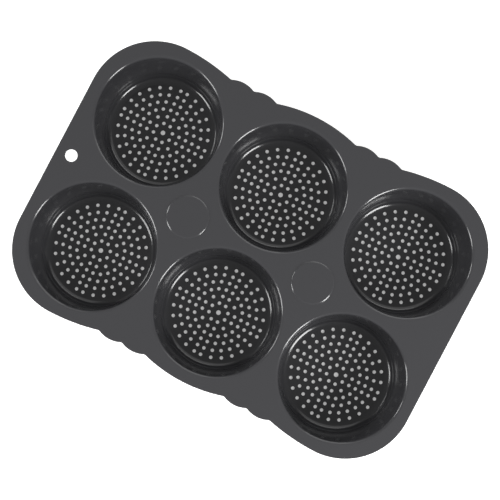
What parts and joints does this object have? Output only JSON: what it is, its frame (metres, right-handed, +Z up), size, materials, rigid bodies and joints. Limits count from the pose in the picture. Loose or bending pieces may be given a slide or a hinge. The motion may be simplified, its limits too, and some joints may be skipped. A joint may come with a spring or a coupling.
{
  "type": "perforated muffin pan",
  "caption": "Flat-rimmed baking pan with round perforated cups in two rows, scalloped long sides and a hanging hole.",
  "frame": {"origin": "on the surface that the pan stands on, under the middle of the pan", "axes": "+X along the long side, away from the hanging hole; +Y across the two rows of cups; +Z up"},
  "size_m": [0.347, 0.2354, 0.0414],
  "materials": {
    "coated_steel": "smooth dark grey non-stick coating with a soft sheen"
  },
  "bodies": {
    "root": {"pan": "coated_steel"}
  },
  "joints": []
}
